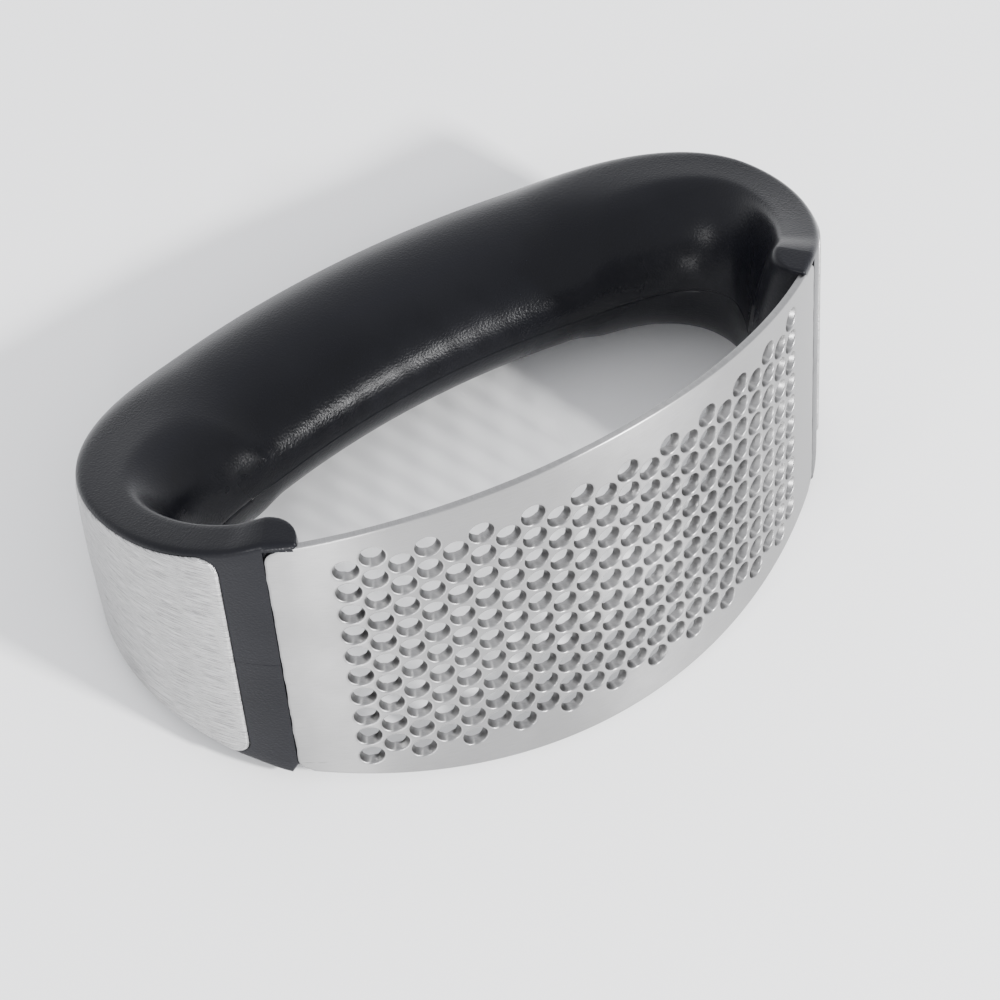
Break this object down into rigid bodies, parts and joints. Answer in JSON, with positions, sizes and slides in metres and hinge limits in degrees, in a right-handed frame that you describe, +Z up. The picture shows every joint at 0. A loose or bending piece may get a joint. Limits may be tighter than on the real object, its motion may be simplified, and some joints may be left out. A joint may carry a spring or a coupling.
{
  "type": "garlic press",
  "caption": "Ring-shaped rocker garlic press: a curved perforated steel plate closes a black plastic grip ring with steel side covers",
  "frame": {"origin": "On the surface the press lies on, under the centre of its bounding box.", "axes": "+X runs along the press's length, from its left ring end to its right ring end. +Y runs from the perforated plate towards the grip. +Z is up. The press lies on its side, on a lower corner of each ring end and on the grip, so its ring axis leans 16.8 degrees from +Z towards +Y."},
  "size_m": [0.1098, 0.0773, 0.0525],
  "materials": {
    "press_steel": "satin stainless sheet, faint grain, bright sheared edges",
    "cover_steel": "stainless sheet brushed along its length",
    "grip_plastic": "slate black moulded plastic with a fine leather-like grain",
    "screw_steel": "plain stainless screws",
    "bonding_tape": "thin white double-sided tape"
  },
  "bodies": {
    "root": {"press_plate": "press_steel", "handle_upper_shell": "grip_plastic", "handle_lower_shell": "grip_plastic", "left_side_cover": "cover_steel", "right_side_cover": "cover_steel", "left_plate_screws": "screw_steel", "right_plate_screws": "screw_steel", "left_cover_tape": "bonding_tape", "right_cover_tape": "bonding_tape"}
  },
  "joints": []
}
